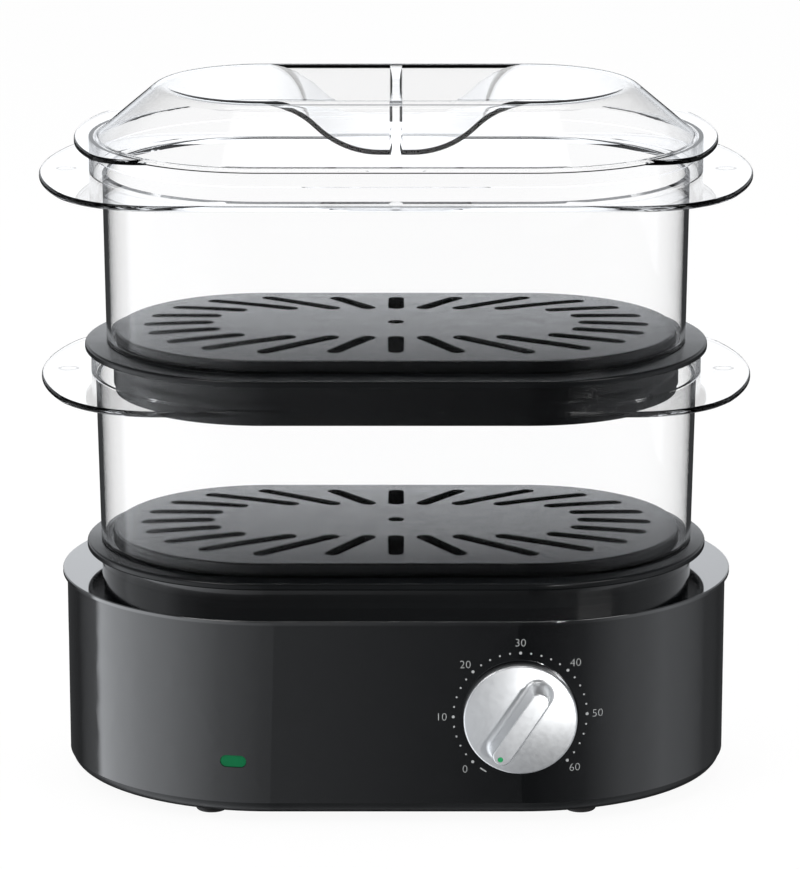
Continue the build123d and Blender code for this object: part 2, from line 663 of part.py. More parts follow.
def make_heater_clamp():
    """The flat ring that draws the plate up against its seal, with three screw ears."""
    ring = Circle(HEATER_FLANGE_RADIUS)
    for x, y in clamp_places():
        ring += Pos(x, y) * Circle(CLAMP_EAR_RADIUS)
    ring = make_hull(ring.edges()) - Circle(HEATER_FLANGE_RADIUS - CLAMP_OVERLAP)
    for x, y in clamp_places():
        ring -= Pos(x, y) * Circle(CLAMP_SCREW_RADIUS + SHANK_CLEARANCE)
    return plate(ring, CLAMP_UNDER, CLAMP_THICKNESS)


def make_clamp_screws():
    """The three screws that hold the clamp ring to the basin's bosses."""
    screw = pan_head_screw(
        CLAMP_SCREW_HEAD_RADIUS,
        CLAMP_SCREW_HEAD_HEIGHT,
        CLAMP_SCREW_RADIUS - SHANK_FIT,
        CLAMP_THICKNESS + CLAMP_SCREW_GRIP,
    )
    height = CLAMP_UNDER - CLAMP_SCREW_HEAD_HEIGHT
    return Compound([Pos(x, y, height) * screw for x, y in clamp_places()])


def make_thermostat():
    """A disc thermostat against the plate's underside, with two blade terminals."""
    cap_foot = HEATER_UNDER - THERMOSTAT_CAP_HEIGHT
    foot = HEATER_UNDER - THERMOSTAT_HEIGHT
    body = rod(0, 0, cap_foot, HEATER_UNDER, THERMOSTAT_CAP_RADIUS)
    body += rod(0, 0, foot, cap_foot, THERMOSTAT_RADIUS)
    for x in (-THERMOSTAT_BLADE_X, THERMOSTAT_BLADE_X):
        body += Pos(x, 0, foot) * blade(BLADE_THICKNESS, BLADE_WIDTH)
    return body


def make_thermal_fuse():
    """The one-shot thermal fuse in its sleeve, lying under the plate beside the thermostat."""
    place = Pos(0, FUSE_Y, HEATER_UNDER - FUSE_RADIUS) * Rot(0, 90, 0)
    sleeve = Cylinder(FUSE_RADIUS, FUSE_LENGTH)
    return place * (sleeve + Cylinder(FUSE_LEAD_RADIUS, FUSE_LEAD_LENGTH))


# ---- Timer and pilot lamp -----------------------------------------------------------------
def on_panel(shape):
    """Place a shape drawn with +Z out of the front wall onto the wall at the knob."""
    return KNOB_PLANE.location * shape


def turned(shape):
    """Turn a shape drawn with its pointer straight down to the off mark, clockwise from below."""
    return Rot(0, 0, -OFF_ANGLE) * shape


def make_timer_case():
    """The clockwork case; its bush comes forward through the bracket and carries the shaft."""
    case = Pos(0, 0, CASE_FRONT - CASE_DEPTH / 2) * Box(CASE_WIDTH, CASE_HEIGHT, CASE_DEPTH)
    case = fillet(case.edges().filter_by(Axis.Z), CASE_EDGE)
    case += rod(0, 0, CASE_FRONT, -(BODY_WALL + BUSH_SETBACK), BUSH_RADIUS)
    case -= rod(0, 0, CASE_FRONT - SHAFT_BORE_DEPTH, 0, SHAFT_RADIUS + RUNNING_FIT)
    for x in CASE_BLADES_X:
        case += Pos(x, CASE_BLADES_Y, CASE_BACK) * blade(BLADE_WIDTH, BLADE_THICKNESS)
    return on_panel(case)


def make_timer_bracket():
    """The steel plate behind the front wall that holds the timer."""
    plan = RectangleRounded(2 * BRACKET_HALF_WIDTH, BRACKET_HEIGHT, BRACKET_CORNER)
    bracket = plate(plan - Circle(BUSH_RADIUS + SHANK_FIT), CASE_FRONT, BRACKET_THICKNESS)
    hole_radius = BRACKET_SCREW_RADIUS + SHANK_CLEARANCE
    for x in (-BRACKET_SCREW_X, BRACKET_SCREW_X):
        bracket -= rod(x, 0, CASE_FRONT, BRACKET_FRONT, hole_radius)
    return on_panel(bracket)


def make_timer_screws():
    """The two screws that hold the bracket to the housing's bosses."""
    screw = pan_head_screw(
        BRACKET_SCREW_HEAD_RADIUS,
        BRACKET_SCREW_HEAD_HEIGHT,
        BRACKET_SCREW_RADIUS - SHANK_FIT,
        BRACKET_THICKNESS + BRACKET_SCREW_GRIP,
    )
    height = CASE_FRONT - BRACKET_SCREW_HEAD_HEIGHT
    places = (-BRACKET_SCREW_X, BRACKET_SCREW_X)
    return Compound([on_panel(Pos(x, 0, height) * screw) for x in places])


def make_timer_bell():
    """The gong on the back of the case, open towards it and held on a post."""
    bell = outline(
        (0, 0),
        (BELL_RADIUS, 0, BELL_ROUNDING),
        (BELL_RADIUS, BELL_HEIGHT),
        (BELL_RADIUS - BELL_WALL, BELL_HEIGHT),
        (BELL_RADIUS - BELL_WALL, BELL_WALL, BELL_ROUNDING - BELL_WALL),
        (BELL_POST_RADIUS, BELL_WALL),
        (BELL_POST_RADIUS, BELL_HEIGHT),
        (0, BELL_HEIGHT),
    )
    return on_panel(Pos(0, BELL_Y, CASE_BACK - BELL_HEIGHT) * revolve(bell, Axis.Z))


def make_timer_shaft():
    """The shaft, with a flat that drives the knob."""
    tip = KNOB_FACE - KNOB_FACE_WALL - SHAFT_END_GAP
    shaft = rod(0, 0, CASE_FRONT - SHAFT_TAIL, tip, SHAFT_RADIUS)
    flat = Pos(0, 2 * SHAFT_RADIUS - SHAFT_FLAT, tip) * Box(
        4 * SHAFT_RADIUS,
        2 * SHAFT_RADIUS,
        tip - KNOB_STAND_OFF,
        align=(Align.CENTER, Align.CENTER, Align.MAX),
    )
    return on_panel(turned(shaft - flat))


def grip_plan(margin):
    """The grip bar's plan, pointer end down, grown by margin."""
    return Rot(0, 0, 90) * pill((GRIP_LENGTH - GRIP_WIDTH) / 2, GRIP_WIDTH / 2 + margin)


def at_grip_foot(edge):
    """Whether an edge lies where the grip bar meets the knob's face."""
    middle = edge.position_at(0.5)
    beyond = max(0.0, abs(middle.Y) - (GRIP_LENGTH - GRIP_WIDTH) / 2)
    near = math.hypot(middle.X, beyond) < GRIP_WIDTH / 2 + GRIP_FILLET
    return near and KNOB_FACE - KNOB_CROWN < middle.Z <= KNOB_FACE


def make_timer_knob():
    """A crowned turned disc with a straight grip bar on it, bored from behind for the shaft."""
    rim = KNOB_FACE - KNOB_CROWN
    crown_radius = (KNOB_RADIUS**2 + KNOB_CROWN**2) / (2 * KNOB_CROWN)
    crown = RadiusArc((0, KNOB_FACE), (KNOB_RADIUS, rim), crown_radius)
    sides = Polyline((KNOB_RADIUS, rim), (KNOB_RADIUS, KNOB_STAND_OFF), (0, KNOB_STAND_OFF))
    axis = Line((0, KNOB_STAND_OFF), (0, KNOB_FACE))
    face = make_face([*crown.edges(), *sides.edges(), *axis.edges()])
    face = fillet(face.vertices().sort_by_distance((KNOB_RADIUS, rim, 0))[0], KNOB_EDGE)
    knob = revolve(Plane.XZ * face, Axis.Z)
    height = GRIP_HEIGHT + KNOB_CROWN
    foot = Pos(0, 0, rim) * grip_plan(height * math.tan(math.radians(GRIP_TAPER)))
    knob += extrude(foot, amount=height, taper=GRIP_TAPER)
    knob = fillet(knob.edges().filter_by(at_grip_foot), GRIP_FILLET)
    knob = fillet(knob.edges().group_by(Axis.Z)[-1], GRIP_EDGE)
    bore_end = KNOB_FACE - KNOB_FACE_WALL
    knob -= rod(0, 0, KNOB_STAND_OFF, bore_end, SHAFT_RADIUS + SHAFT_PRESS_FIT)
    return on_panel(turned(knob))


def make_knob_ring():
    """The thin ring that the knob turns against."""
    ring = Circle(KNOB_RADIUS + RING_MARGIN) - Circle(SHAFT_RADIUS + RING_HOLE_MARGIN)
    foot = PAD_FACE + RING_GAP
    return on_panel(plate(ring, foot, KNOB_STAND_OFF - foot))


def make_knob_marker():
    """The pointer dot near the grip bar's lower end."""
    top = KNOB_FACE + GRIP_HEIGHT
    y = DOT_FROM_END - GRIP_LENGTH / 2
    return on_panel(turned(rod(0, y, top, top + DOT_PROUD, DOT_RADIUS)))


def lamp_cylinder(radius, length):
    """A round run straight back from the lens's rear face."""
    return Pos(LENS_X, LENS_BACK + length / 2, LENS_Z) * Rot(90, 0, 0) * Cylinder(radius, length)


def make_pilot_lens():
    """The lens fills its hole, stops a little short of the wall's face and is cut flat behind."""
    return lens_prism(0, LENS_BACK) & body_solid(LENS_RECESS)


def make_lamp_holder():
    """A moulded sleeve on the lens's rear face."""
    holder = Box(HOLDER_WIDTH, HOLDER_DEPTH, HOLDER_HEIGHT)
    holder = Pos(LENS_X, LENS_BACK + HOLDER_DEPTH / 2, LENS_Z) * holder
    return holder - lamp_cylinder(LAMP_RADIUS + SHANK_FIT, HOLDER_DEPTH)


def make_pilot_lamp():
    """The neon lamp: a glass tube with two leads."""
    lamp = lamp_cylinder(LAMP_RADIUS, LAMP_LENGTH)
    for x in (-LAMP_LEAD_X, LAMP_LEAD_X):
        lamp += Pos(x, 0, 0) * lamp_cylinder(LAMP_LEAD_RADIUS, LAMP_LEAD_LENGTH)
    return lamp


def make_terminal_block():
    """Three screw wells in a row, each over a wire way."""
    block = Box(
        BLOCK_WIDTH, BLOCK_DEPTH, BLOCK_HEIGHT, align=(Align.CENTER, Align.CENTER, Align.MIN)
    )
    for pole in (-1, 0, 1):
        x = pole * BLOCK_POLE_PITCH
        block -= rod(x, 0, BLOCK_HEIGHT - BLOCK_WELL_DEPTH, BLOCK_HEIGHT, BLOCK_WELL_RADIUS)
        way = Rot(90, 0, 0) * Cylinder(BLOCK_WIRE_RADIUS, BLOCK_DEPTH)
        block -= Pos(x, 0, BLOCK_WIRE_HEIGHT) * way
    return Pos(BLOCK_X, BLOCK_Y, PAN_TOP) * block


# ---- Steaming stack -----------------------------------------------------------------------
def crown_line(radius, edge_height):
    """The plateau's crown: level at the middle, then a shallow arc down to the edge."""
    top = edge_height + PLATEAU_CROWN
    level = Line((0, top), (CROWN_FLAT, top))
    return level + TangentArc(level @ 1, (radius, edge_height), tangent=(1, 0))


def reach_along(start, direction, span, radius):
    """How far from start, along direction, the racetrack of this span and radius is crossed."""
    if direction.Y > 0:
        flat = (radius - start.Y) / direction.Y
        if start.X + flat * direction.X <= span:
            return flat
    along = (span - start.X) * direction.X - start.Y * direction.Y
    across = (span - start.X) ** 2 + start.Y**2 - along**2
    return along + math.sqrt(radius**2 - across)


def fan_slot(angle, outer_radius):
    """One slot on the +X side, along the line from the fan's pole at the given angle."""
    direction = Vector(math.cos(math.radians(angle)), math.sin(math.radians(angle)))
    pole = Vector(-FAN_POLE, 0)
    inner = reach_along(pole, direction, SLOT_INNER_SPAN, SLOT_INNER_RADIUS)
    outer = reach_along(pole, direction, STACK_SPAN, outer_radius)
    middle = pole + direction * ((inner + outer) / 2)
    slot = pill((outer - inner - SLOT_WIDTH) / 2, SLOT_WIDTH / 2)
    return Pos(middle.X, middle.Y) * Rot(0, 0, angle) * slot


def slot_plan(plateau_radius):
    """All the steam slots of a tray and the juice hole in its middle."""
    outer_radius = plateau_radius - SLOT_EDGE_MARGIN
    quarter = Sketch()
    for angle in FAN_ANGLES:
        quarter += fan_slot(angle, outer_radius)
    half = quarter + mirror(quarter, Plane.XZ) + fan_slot(0, outer_radius)
    length = outer_radius - SLOT_INNER_RADIUS
    middle = Rot(0, 0, 90) * pill((length - SLOT_WIDTH) / 2, SLOT_WIDTH / 2)
    middle = Pos(0, SLOT_INNER_RADIUS + length / 2) * middle
    plan = half + mirror(half, Plane.YZ) + middle + mirror(middle, Plane.XZ)
    return plan + Circle(JUICE_HOLE_RADIUS)


def make_tray(seat, plateau_radius, basket_foot):
    """A steam tray: crowned plateau, a flange that falls outwards to a lip, and a drip skirt."""
    flange_top = seat + FLANGE_THICKNESS
    fall = basket_foot + FLANGE_SHOULDER
    edge = flange_top + PLATEAU_RISE
    inner = min(plateau_radius, SKIRT_RADIUS) - TRAY_WALL
    skirt_end = seat - SKIRT_DEPTH
    step = skirt_end + SKIRT_STEP_HEIGHT
    top = crown_line(plateau_radius, edge)
    under = crown_line(inner, edge - PLATE_THICKNESS)
    side = Polyline(
        (plateau_radius, edge),
        (plateau_radius, flange_top),
        (fall, flange_top),
        (TRAY_RADIUS, flange_top - FLANGE_FALL),
        (TRAY_RADIUS, seat - FLANGE_LIP),
        (TRAY_RADIUS - TRAY_WALL, seat - FLANGE_LIP),
        (TRAY_RADIUS - TRAY_WALL, seat),
        (SKIRT_RADIUS, seat),
        (SKIRT_RADIUS, step),
        (SKIRT_RADIUS - SKIRT_STEP, step),
        (SKIRT_RADIUS - SKIRT_STEP, skirt_end),
        (inner, skirt_end),
        (inner, edge - PLATE_THICKNESS),
    )
    middle = Line((0, edge + PLATEAU_CROWN), (0, edge - PLATE_THICKNESS + PLATEAU_CROWN))
    face = make_face([*top.edges(), *side.edges(), *under.edges(), *middle.edges()])
    for corner, rounding in (
        ((plateau_radius, edge), PLATEAU_EDGE),
        ((TRAY_RADIUS, flange_top - FLANGE_FALL), FLANGE_EDGE),
        ((TRAY_RADIUS, seat - FLANGE_LIP), LIP_EDGE),
    ):
        face = fillet(face.vertices().sort_by_distance((*corner, 0))[0], rounding)
    tray = carry(Plane.XZ * face, STACK_SPAN)
    cutter = extrude(
        Pos(0, 0, edge + PLATEAU_CROWN) * slot_plan(plateau_radius),
        amount=-(PLATE_THICKNESS + 1.5 * PLATEAU_CROWN),
        taper=SLOT_TAPER,
    )
    return tray - cutter


def make_drip_tray():
    """The juice tray: stands on the deck, hangs in the basin, and lets steam up two chimneys."""
    well = BASIN_MOUTH_RADIUS - DRIP_MOUTH_GAP
    band_radius = DRIP_RADIUS + DRIP_BAND_PROUD
    band_top = DECK_TOP + DRIP_BAND_HEIGHT
    ledge = DECK_TOP + DRIP_WALL
    section = outline(
        (0, DRIP_FLOOR),
        (well, DRIP_FLOOR, DRIP_CORNER),
        (well, DECK_TOP),
        (band_radius, DECK_TOP),
        (band_radius, band_top),
        (DRIP_RADIUS, band_top),
        (DRIP_RADIUS, TRAY_SEAT),
        (DRIP_RADIUS - DRIP_WALL, TRAY_SEAT),
        (DRIP_RADIUS - DRIP_WALL, ledge, DRIP_LEDGE_FALL),
        (well - DRIP_WALL, ledge - DRIP_LEDGE_FALL),
        (well - DRIP_WALL, DRIP_FLOOR + DRIP_WALL, DRIP_CORNER - DRIP_WALL),
        (0, DRIP_FLOOR + DRIP_WALL),
    )
    tray = carry(section, STACK_SPAN)
    wall = Rot(0, 0, 90) * pill(CHIMNEY_SPAN, CHIMNEY_RADIUS)
    way = Rot(0, 0, 90) * pill(CHIMNEY_SPAN, CHIMNEY_RADIUS - DRIP_WALL)
    for x in (-CHIMNEY_X, CHIMNEY_X):
        tray += plate(Pos(x, 0) * wall, DRIP_FLOOR, CHIMNEY_TOP - DRIP_FLOOR)
        tray -= plate(Pos(x, 0) * way, DRIP_FLOOR, CHIMNEY_TOP - DRIP_FLOOR)
    return tray


def make_basket(foot, collar_top, foot_radius, top_radius, plateau_radius):
    """A bottomless basket: drafted wall, end handles in one flange, and a collar above it."""
    handle = foot + HANDLE_HEIGHT
    handle_top = handle + HANDLE_THICKNESS
    lip = plateau_radius + SEAT_GAP
    lip_top = foot + BASKET_FOOT_HEIGHT
    wall = outline(
        (lip, foot),
        (foot_radius, foot, BASKET_FOOT_EDGE),
        (top_radius, handle),
        (top_radius, handle_top),
        (top_radius - BASKET_WALL, handle_top, BASKET_FOOT_EDGE),
        (foot_radius - BASKET_WALL, lip_top),
        (lip, lip_top),
    )
    collar = band(COLLAR_RADIUS, handle, collar_top, BASKET_WALL)
    flange = tongue(HANDLE_REACH, HANDLE_END_RADIUS, HANDLE_HALF_DEPTH, HANDLE_CORNER)
    flange = plate(flange, handle, HANDLE_THICKNESS)
    rims = flange.edges().group_by(Axis.Z)
    flange = fillet(rims[0] + rims[-1], HANDLE_EDGE)
    flange -= plate(pill(STACK_SPAN, top_radius - BASKET_WALL / 2), handle, HANDLE_THICKNESS)
    return carry(wall, STACK_SPAN) + carry(collar, STACK_SPAN) + flange


# ---- Lid ----------------------------------------------------------------------------------
def dome(inset):
    """The lid's dome as a solid, all its faces moved in by inset."""
    slope = math.atan2(LID_TOP - LID_FLANGE_TOP, LID_FOOT_RADIUS - LID_CROWN_RADIUS)
    shift = inset * math.tan(slope / 2)
    section = outline(
        (0, LID_SEAT),
        (LID_FOOT_RADIUS - shift, LID_SEAT),
        (LID_FOOT_RADIUS - shift, LID_FLANGE_TOP - inset),
        (LID_CROWN_RADIUS - shift, LID_TOP - inset, LID_CROWN_ROUNDING - inset),
        (0, LID_TOP - inset),
    )
    return carry(section, STACK_SPAN)


def pocket(grown):
    """The finger pocket: an S-curved trough across the crown, its walls moved out by grown."""
    floor = LID_TOP - POCKET_DEPTH
    crest = LID_TOP + POCKET_CREST
    half = POCKET_HALF_WIDTH - POCKET_FLAT
    radius = (half**2 + (crest - floor) ** 2) / (4 * (crest - floor))
    turn = math.degrees(2 * math.atan2(crest - floor, half))
    low = CenterArc((POCKET_FLAT, floor + radius), radius + grown, -90, turn)
    high = CenterArc((POCKET_HALF_WIDTH, crest - radius), radius - grown, 90 + turn, -turn)
    above = crest + 2 * LID_WALL
    frame = Polyline(high @ 1, ((high @ 1).X, above), (0, above), (0, floor - grown), low @ 0)
    face = make_face([*low.edges(), *high.edges(), *frame.edges()])
    half_solid = extrude(Plane.XZ * face, amount=POCKET_HALF_DEPTH + grown, both=True)
    return half_solid + mirror(half_solid, Plane.YZ)


def make_rib():
    """The grip rib: a web along the pocket, waisted at its middle, just under the crown."""
    end = GRIP_RIB_END / 2
    waist = GRIP_RIB_WAIST / 2
    reach = POCKET_HALF_DEPTH + LID_WALL / 2
    right = ThreePointArc((end, -reach), (waist, 0), (end, reach))
    left = ThreePointArc((-end, reach), (-waist, 0), (-end, -reach))
    back = Line((end, reach), (-end, reach))
    front = Line((-end, -reach), (end, -reach))
    floor = LID_TOP - POCKET_DEPTH - LID_WALL / 2
    return plate(make_face([right, back, left, front]), floor, LID_TOP - GRIP_RIB_DROP - floor)


def make_lid():
    """The clear lid: lift tabs, sloping dome and a finger pocket with a grip rib across it."""
    tabs = tongue(LID_REACH, LID_END_RADIUS, LID_TAB_HALF_DEPTH, LID_TAB_CORNER)
    flange = plate(tabs + pill(STACK_SPAN, COLLAR_RADIUS), LID_SEAT, LID_FLANGE)
    flange = fillet(flange.edges().group_by(Axis.Z)[-1], LID_FLANGE_EDGE)
    outer = dome(0) - pocket(0)
    inner = dome(LID_WALL) - pocket(LID_WALL)
    skirt_radius = COLLAR_RADIUS - BASKET_WALL - LID_SKIRT_GAP
    skirt = band(skirt_radius, LID_SEAT - LID_SKIRT_DEPTH, LID_SEAT, LID_SKIRT_WALL)
    return flange + outer - inner + carry(skirt, STACK_SPAN) + make_rib()


def main():
    os.makedirs("parts", exist_ok=True)
    save("housing_shell", make_housing_shell())
    save("top_deck", make_top_deck())
    save("base_pan", make_base_pan())
    save("rubber_feet", make_rubber_feet())
    save("base_screws", make_base_screws())
    save("cord_inlet", make_cord_inlet())
    save("heating_plate", make_heating_plate())
    save("heater_seal", make_heater_seal())
    save("heater_tube", make_heater_tube())
    save("heater_clamp", make_heater_clamp())
    save("clamp_screws", make_clamp_screws())
    save("thermostat", make_thermostat())
    save("thermal_fuse", make_thermal_fuse())
    save("timer_case", make_timer_case())
    save("timer_bracket", make_timer_bracket())
    save("timer_screws", make_timer_screws())
    save("timer_bell", make_timer_bell())
    save("timer_shaft", make_timer_shaft())
    save("timer_knob", make_timer_knob())
    save("knob_ring", make_knob_ring())
    save("knob_marker", make_knob_marker())
    save("pilot_lens", make_pilot_lens())
    save("lamp_holder", make_lamp_holder())
    save("pilot_lamp", make_pilot_lamp())
    save("terminal_block", make_terminal_block())
    save("drip_tray", make_drip_tray())
    save("lower_tray", make_tray(TRAY_SEAT, LOWER_PLATEAU_RADIUS, LOWER_BASKET_FOOT))
    save("upper_tray", make_tray(UPPER_TRAY_SEAT, UPPER_PLATEAU_RADIUS, UPPER_BASKET_FOOT))
    lower = (LOWER_BASKET_FOOT, LOWER_BASKET_TOP, LOWER_PLATEAU_RADIUS)
    upper = (UPPER_BASKET_FOOT, UPPER_BASKET_TOP, UPPER_PLATEAU_RADIUS)
    save("lower_basket", make_basket(LOWER_FLANGE_TOP, UPPER_TRAY_SEAT, *lower))
    save("upper_basket", make_basket(UPPER_FLANGE_TOP, LID_SEAT, *upper))
    save("lid", make_lid())


main()
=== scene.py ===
import json
import math

import bpy
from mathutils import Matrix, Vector


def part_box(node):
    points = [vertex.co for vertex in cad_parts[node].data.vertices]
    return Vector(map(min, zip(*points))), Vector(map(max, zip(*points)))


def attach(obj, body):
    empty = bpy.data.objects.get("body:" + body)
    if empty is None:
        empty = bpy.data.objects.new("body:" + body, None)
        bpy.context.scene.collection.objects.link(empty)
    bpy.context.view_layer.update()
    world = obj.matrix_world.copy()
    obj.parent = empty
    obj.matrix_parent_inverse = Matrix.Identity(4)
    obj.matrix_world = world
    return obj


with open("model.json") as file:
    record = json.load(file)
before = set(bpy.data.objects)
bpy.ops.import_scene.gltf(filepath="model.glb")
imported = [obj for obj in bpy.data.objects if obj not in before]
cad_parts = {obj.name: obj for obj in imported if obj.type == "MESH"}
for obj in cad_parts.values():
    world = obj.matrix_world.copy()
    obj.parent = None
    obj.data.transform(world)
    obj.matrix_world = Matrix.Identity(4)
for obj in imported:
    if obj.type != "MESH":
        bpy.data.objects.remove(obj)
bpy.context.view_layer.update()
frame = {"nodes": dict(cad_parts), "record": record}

# ---- Places shared with the CAD, in metres -------------------------------------------------------
CENTRE_Y = (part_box("lid")[0][1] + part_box("lid")[1][1]) / 2
# The housing's outer wall at its foot and at its top: height, half length of the straight front
# and radius of the round ends.
FOOT_Z, FOOT_SPAN, FOOT_RADIUS = 0.0117, 0.063, 0.105
TOP_Z, TOP_SPAN, TOP_RADIUS = 0.1051, 0.0605, 0.108
# The timer knob's axis on the front wall.
DIAL_X, DIAL_Z = 0.0619, 0.0573
# The upper face of each basket's handle tabs.
HANDLE_TOPS = {"lower_basket": 0.2101, "upper_basket": 0.3139}


# ---- Material helpers ----------------------------------------------------------------------------
NOISE_RANGE = (0.3, 0.7)  # where nearly all values of a noise texture lie


def feed(tree, value, socket):
    """Sets a socket to a plain value, or links it to another node's output."""
    if isinstance(value, bpy.types.NodeSocket):
        tree.links.new(value, socket)
    else:
        socket.default_value = value


def math_node(tree, operation, *values):
    node = tree.nodes.new("ShaderNodeMath")
    node.operation = operation
    for socket, value in zip(node.inputs, values):
        feed(tree, value, socket)
    return node.outputs[0]


class Surface:
    """A Principled material whose nodes are added by short calls."""

    def __init__(self, name, **sockets):
        self.material = bpy.data.materials.new(name)
        self.material.use_nodes = True
        self.tree = self.material.node_tree
        self.shader = self.tree.nodes["Principled BSDF"]
        self.coordinates = self.tree.nodes.new("ShaderNodeTexCoord")
        for socket, value in sockets.items():
            self.shader.inputs[socket.replace("_", " ")].default_value = value

    def link(self, source, target):
        self.tree.links.new(source, target)

    def noise(self, scale, detail=4.0, stretch=(1, 1, 1)):
        """Noise with about scale spots a metre; a small stretch draws it out along that axis."""
        mapping = self.tree.nodes.new("ShaderNodeMapping")
        mapping.inputs["Scale"].default_value = stretch
        self.link(self.coordinates.outputs["Object"], mapping.inputs["Vector"])
        node = self.tree.nodes.new("ShaderNodeTexNoise")
        node.inputs["Scale"].default_value = scale
        node.inputs["Detail"].default_value = detail
        self.link(mapping.outputs["Vector"], node.inputs["Vector"])
        return node.outputs["Fac"]

    def spread(self, source, low, high, span=NOISE_RANGE):
        """Maps the values within span to run from low to high."""
        node = self.tree.nodes.new("ShaderNodeMapRange")
        limits = {"From Min": span[0], "From Max": span[1], "To Min": low, "To Max": high}
        for socket, value in limits.items():
            node.inputs[socket].default_value = value
        self.link(source, node.inputs["Value"])
        return node.outputs["Result"]

    def tint(self, source, low, high):
        node = self.tree.nodes.new("ShaderNodeMix")
        node.data_type = "RGBA"
        node.inputs["A"].default_value = (*low, 1)
        node.inputs["B"].default_value = (*high, 1)
        self.link(source, node.inputs["Factor"])
        self.link(node.outputs["Result"], self.shader.inputs["Base Color"])

    def rough(self, source, low, high):
        self.link(self.spread(source, low, high), self.shader.inputs["Roughness"])

    def bump(self, source, strength, distance):
        node = self.tree.nodes.new("ShaderNodeBump")
        node.inputs["Strength"].default_value = strength
        node.inputs["Distance"].default_value = distance
        self.link(source, node.inputs["Height"])
        self.link(node.outputs["Normal"], self.shader.inputs["Normal"])


PALE_SHARE = 1.06  # how bright a moulding's palest spots are, against its colour
METAL_SCALE, METAL_DETAIL = 420.0, 5.0
LINE_SHADE = 0.86  # how bright the darkest lines in a metal are, against its colour
# The knob's face: the middle of its swell, as shares of its box across and up, and what the
# grain adds to the swell.
SWELL_MIDDLE, GRAIN_RELIEF = (0.38, 0.3), 0.002
# Painted shade in its pockets: the colour of that painted shade, how near a wall has to be, and the
# shares of open sky at which the painted shade is full and gone.
POCKET_PAINTED_SHADE, POCKET_REACH, POCKET_SKY = (0.1, 0.105, 0.11), 0.004, (0.4, 0.9)


def moulded(name, colour, rough, grain, peel, **sockets):
    """Moulded plastic: slight colour drift, uneven gloss and a fine surface relief."""
    surface = Surface(name, **sockets)
    pale = tuple(min(1.0, channel * PALE_SHARE) for channel in colour)
    surface.tint(surface.noise(scale=35.0), colour, pale)
    surface.rough(surface.noise(scale=90.0, detail=6.0), *rough)
    surface.bump(surface.noise(scale=grain, detail=3.0), strength=peel, distance=0.0002)
    return surface.material


def brushed(name, colour, rough, stretch):
    """Metal with fine drawn or turned lines."""
    surface = Surface(name, Metallic=1.0)
    lines = surface.noise(METAL_SCALE, METAL_DETAIL, stretch)
    shade = tuple(channel * LINE_SHADE for channel in colour)
    surface.tint(surface.spread(lines, 0.0, 1.0), shade, colour)
    surface.rough(lines, *rough)
    surface.bump(lines, strength=0.12, distance=0.0001)
    return surface.material


def domed_face(name, colour, rough, rise):
    """Satin metal with painted shade in its pockets, whose shading a bump swells a little towards
    the middle.
    """
    surface = Surface(name, Metallic=1.0)
    grain = surface.noise(METAL_SCALE, METAL_DETAIL)
    surface.rough(grain, *rough)
    tree = surface.tree
    sky = tree.nodes.new("ShaderNodeAmbientOcclusion")
    sky.samples = 8
    sky.inputs["Distance"].default_value = POCKET_REACH
    # Painted shade: ambient occlusion darkens the base colour towards the pocket shade colour
    # wherever walls are near.
    surface.tint(surface.spread(sky.outputs["AO"], 0.0, 1.0, POCKET_SKY), POCKET_PAINTED_SHADE, colour)
    axes = tree.nodes.new("ShaderNodeSeparateXYZ")
    surface.link(surface.coordinates.outputs["Generated"], axes.inputs[0])
    across = math_node(tree, "SUBTRACT", axes.outputs["X"], SWELL_MIDDLE[0])
    upward = math_node(tree, "SUBTRACT", axes.outputs["Z"], SWELL_MIDDLE[1])
    square = math_node(tree, "ADD", math_node(tree, "MULTIPLY", across, across),
                       math_node(tree, "MULTIPLY", upward, upward))
    swell = math_node(tree, "MULTIPLY", square, -1.0)
    relief = math_node(tree, "MULTIPLY_ADD", grain, GRAIN_RELIEF, swell)
    surface.bump(relief, strength=1.0, distance=rise)
    return surface.material


def clear(name, tone, rough):
    """Clear moulded plastic or glass with faint flow marks."""
    surface = Surface(name, Transmission_Weight=1.0, IOR=1.2)
    surface.tint(surface.noise(scale=14.0), tone, (1.0, 1.0, 1.0))
    surface.rough(surface.noise(scale=60.0, detail=3.0), *rough)
    surface.bump(surface.noise(scale=9.0, detail=2.0), strength=0.08, distance=0.0004)
    return surface.material


# ---- Materials by the record's slots -------------------------------------------------------------
BLACK = (0.002, 0.0023, 0.0028)
INK = (0.0035, 0.0042, 0.0048)
STEEL = (0.55, 0.56, 0.57)
GLOSS = {"Coat_Weight": 1.0, "Coat_Roughness": 0.04, "Coat_IOR": 1.5}
DECK_GLOSS = {"IOR": 1.7, "Coat_Weight": 1.0, "Coat_Roughness": 0.02, "Coat_IOR": 1.7}
